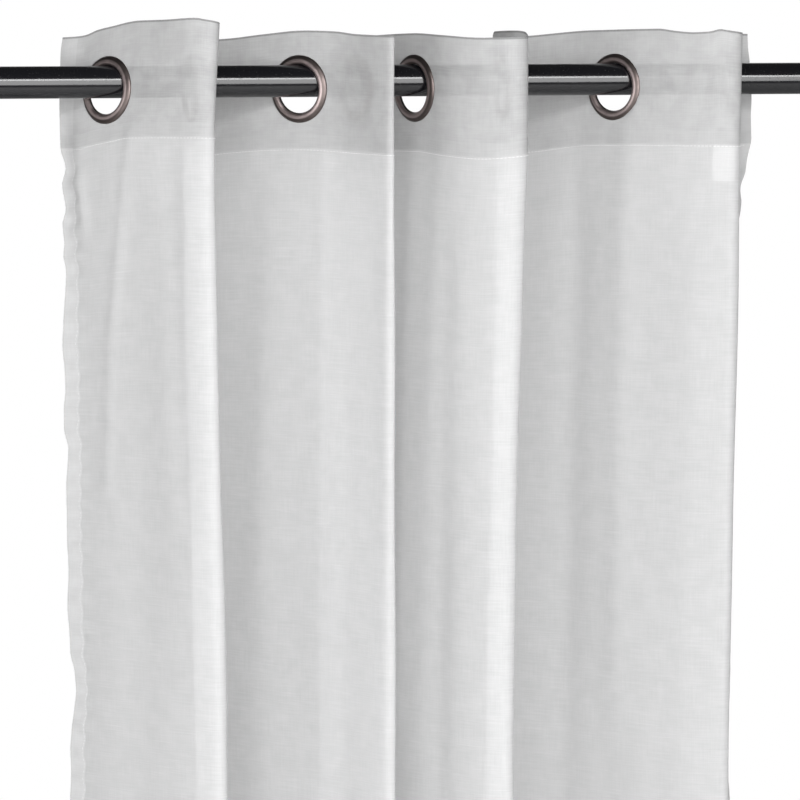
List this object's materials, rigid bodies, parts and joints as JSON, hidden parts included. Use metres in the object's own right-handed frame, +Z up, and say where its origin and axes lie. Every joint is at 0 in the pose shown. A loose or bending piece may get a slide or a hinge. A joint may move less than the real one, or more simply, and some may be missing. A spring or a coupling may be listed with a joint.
{
  "type": "sheer voile curtain on a rod",
  "caption": "Sheer pale grey voile curtain with dark metal eyelets, hanging in uneven soft folds from a plain black rod.",
  "frame": {"origin": "middle of the rod's axis", "axes": "+X along the rod to the viewer's right, +Y away from the viewer, +Z up"},
  "size_m": [0.8, 0.1638, 2.408],
  "materials": {
    "voile": "sheer, fine woven, matt",
    "doubled_voile": "two sheer layers, matt",
    "gunmetal": "dark satin plating",
    "black_gloss": "gloss black",
    "white_tape": "plain woven tape"
  },
  "bodies": {
    "root": {"rod": "black_gloss", "heading": "doubled_voile", "panel": "voile", "eyelet_1": "gunmetal", "eyelet_2": "gunmetal", "eyelet_3": "gunmetal", "eyelet_4": "gunmetal", "eyelet_5": "gunmetal", "eyelet_6": "gunmetal", "eyelet_7": "gunmetal", "eyelet_8": "gunmetal", "care_label": "white_tape"}
  },
  "joints": []
}
